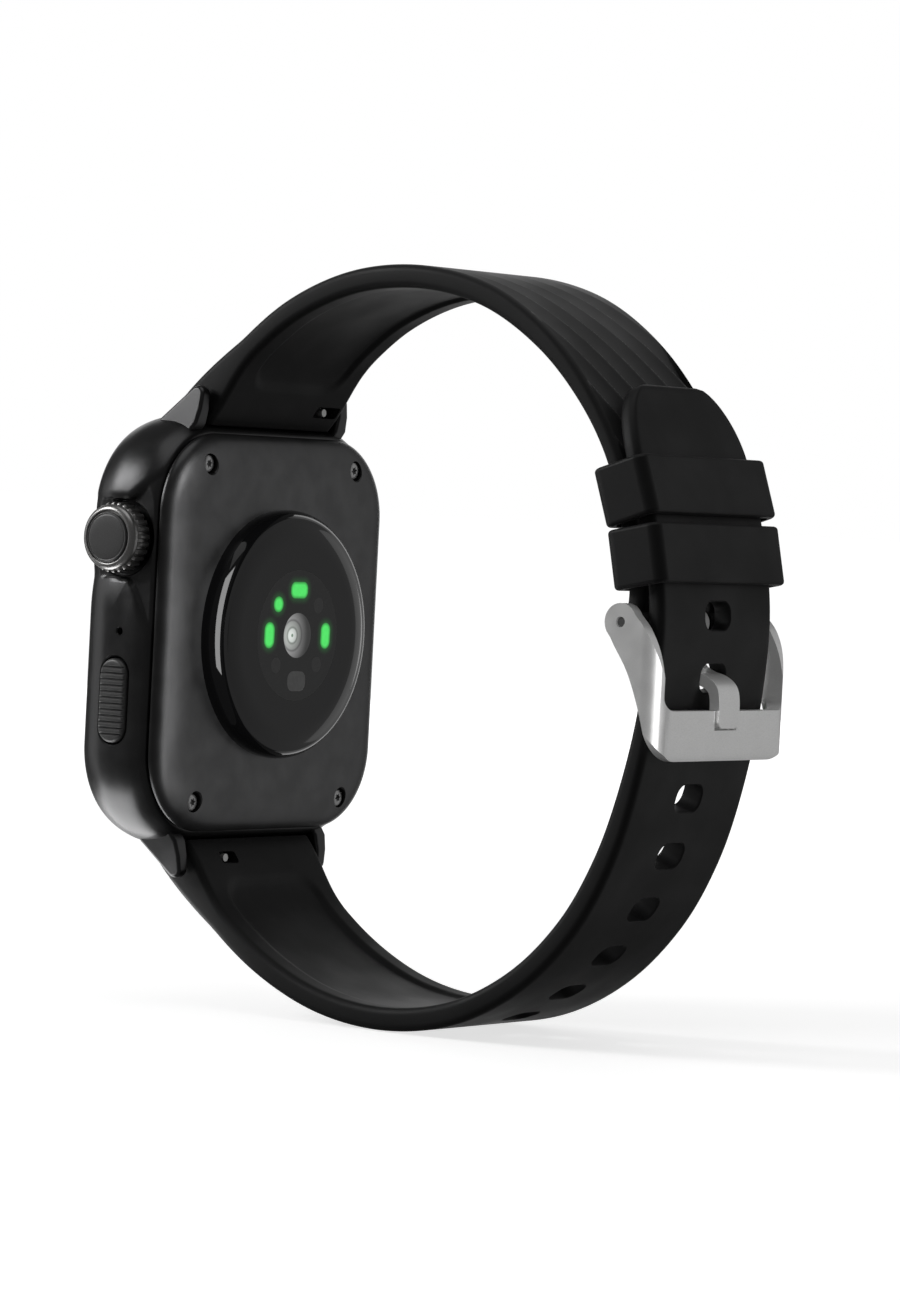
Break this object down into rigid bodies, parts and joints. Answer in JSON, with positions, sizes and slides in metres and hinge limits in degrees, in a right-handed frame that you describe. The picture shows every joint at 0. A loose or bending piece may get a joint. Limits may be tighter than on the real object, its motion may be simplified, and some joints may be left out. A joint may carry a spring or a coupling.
{
  "type": "smartwatch",
  "caption": "Square smartwatch with crown, side button, rear optical sensor and a silicone strap closed in a loop by a pin buckle and keepers.",
  "frame": {"origin": "centre of the optical sensor's flat face, which rests on the wrist", "axes": "+X out of the back of the case towards the buckle, +Z towards twelve o'clock, crown on the -Y side"},
  "size_m": [0.0694, 0.042, 0.0791],
  "materials": {
    "case_black": "satin black",
    "front_glass": "gloss black glass",
    "sensor_glass": "gloss black",
    "sensor_window": "dark tinted gloss",
    "sensor_lens": "clear lens over a pale emitter",
    "green_light": "lit green",
    "dim_optic": "dark tinted gloss",
    "silicone": "matte",
    "buckle_steel": "satin",
    "bright_steel": "bright",
    "seal_rubber": "matte",
    "dark_plastic": "matte",
    "circuit_board": "solder mask",
    "battery_pouch": "foil"
  },
  "bodies": {
    "watch": {"case_frame": "case_black", "back_cover": "case_black", "case_screw_upper_left": "case_black", "case_screw_upper_right": "case_black", "case_screw_lower_left": "case_black", "case_screw_lower_right": "case_black", "front_glass": "front_glass", "sensor_dome": "sensor_glass", "sensor_window": "sensor_window", "sensor_lens": "sensor_lens", "green_led_top": "green_light", "green_led_upper_left": "green_light", "green_led_left": "green_light", "green_led_right": "green_light", "photodiode_bottom": "dim_optic", "photodiode_upper_right": "dim_optic", "photodiode_lower_left": "dim_optic", "photodiode_lower_right": "dim_optic", "short_strap": "silicone", "long_strap": "silicone", "fixed_keeper": "silicone", "spring_bar_tube_upper": "bright_steel", "spring_bar_tube_lower": "bright_steel", "spring_bar_tip_upper": "bright_steel", "spring_bar_tip_lower": "bright_steel", "release_spring_upper": "bright_steel", "release_spring_lower": "bright_steel", "crown_bush": "bright_steel", "vibration_motor": "bright_steel", "microphone": "bright_steel", "front_gasket": "seal_rubber", "cover_gasket": "seal_rubber", "display_panel": "dark_plastic", "speaker": "dark_plastic", "crown_switch": "dark_plastic", "button_switch": "dark_plastic", "main_board": "circuit_board", "sensor_board": "circuit_board", "battery": "battery_pouch"},
    "crown_slider": {"crown_plunger": "bright_steel"},
    "crown": {"crown_cap": "case_black", "crown_gear_ring": "case_black", "crown_stem": "bright_steel", "crown_o_ring": "seal_rubber"},
    "side_button": {"side_button": "case_black", "button_clip": "bright_steel"},
    "floating_keeper": {"floating_keeper": "silicone"},
    "buckle_frame": {"buckle_frame": "buckle_steel", "buckle_pin": "buckle_steel"},
    "buckle_tongue": {"buckle_tongue": "buckle_steel"},
    "release_upper": {"release_slider_upper": "bright_steel"},
    "release_lower": {"release_slider_lower": "bright_steel"}
  },
  "joints": [
    {"name": "crown_press", "type": "slide", "parent": "watch", "child": "crown_slider", "axis": [0, 1, 0], "range_m": [0, 0.0003], "stiffness_N_per_m": 2000},
    {"name": "crown_spin", "type": "hinge", "parent": "crown_slider", "child": "crown", "pos_m": [-0.009, -0.022, 0.00965], "axis": [0, -1, 0], "continuous": true},
    {"name": "side_button_press", "type": "slide", "parent": "watch", "child": "side_button", "axis": [0, 1, 0], "range_m": [0, 0.0003], "stiffness_N_per_m": 2000},
    {"name": "floating_keeper_slide", "type": "slide", "parent": "watch", "child": "floating_keeper", "axis": [-0.3184, 0, 0.948], "range_m": [-0.0001, 0.001]},
    {"name": "buckle_frame_tilt", "type": "hinge", "parent": "watch", "child": "buckle_frame", "pos_m": [0.0495, 0, 0.0042], "axis": [0, -1, 0], "range_deg": [-1.5, 3]},
    {"name": "buckle_tongue_tilt", "type": "hinge", "parent": "buckle_frame", "child": "buckle_tongue", "pos_m": [0.0495, 0, 0.0042], "axis": [0, -1, 0], "range_deg": [0, 3]},
    {"name": "quick_release_upper", "type": "slide", "parent": "watch", "child": "release_upper", "axis": [0, -1, 0], "range_m": [0, 0.0013], "stiffness_N_per_m": 800},
    {"name": "quick_release_lower", "type": "slide", "parent": "watch", "child": "release_lower", "axis": [0, 1, 0], "range_m": [0, 0.0013], "stiffness_N_per_m": 800}
  ]
}
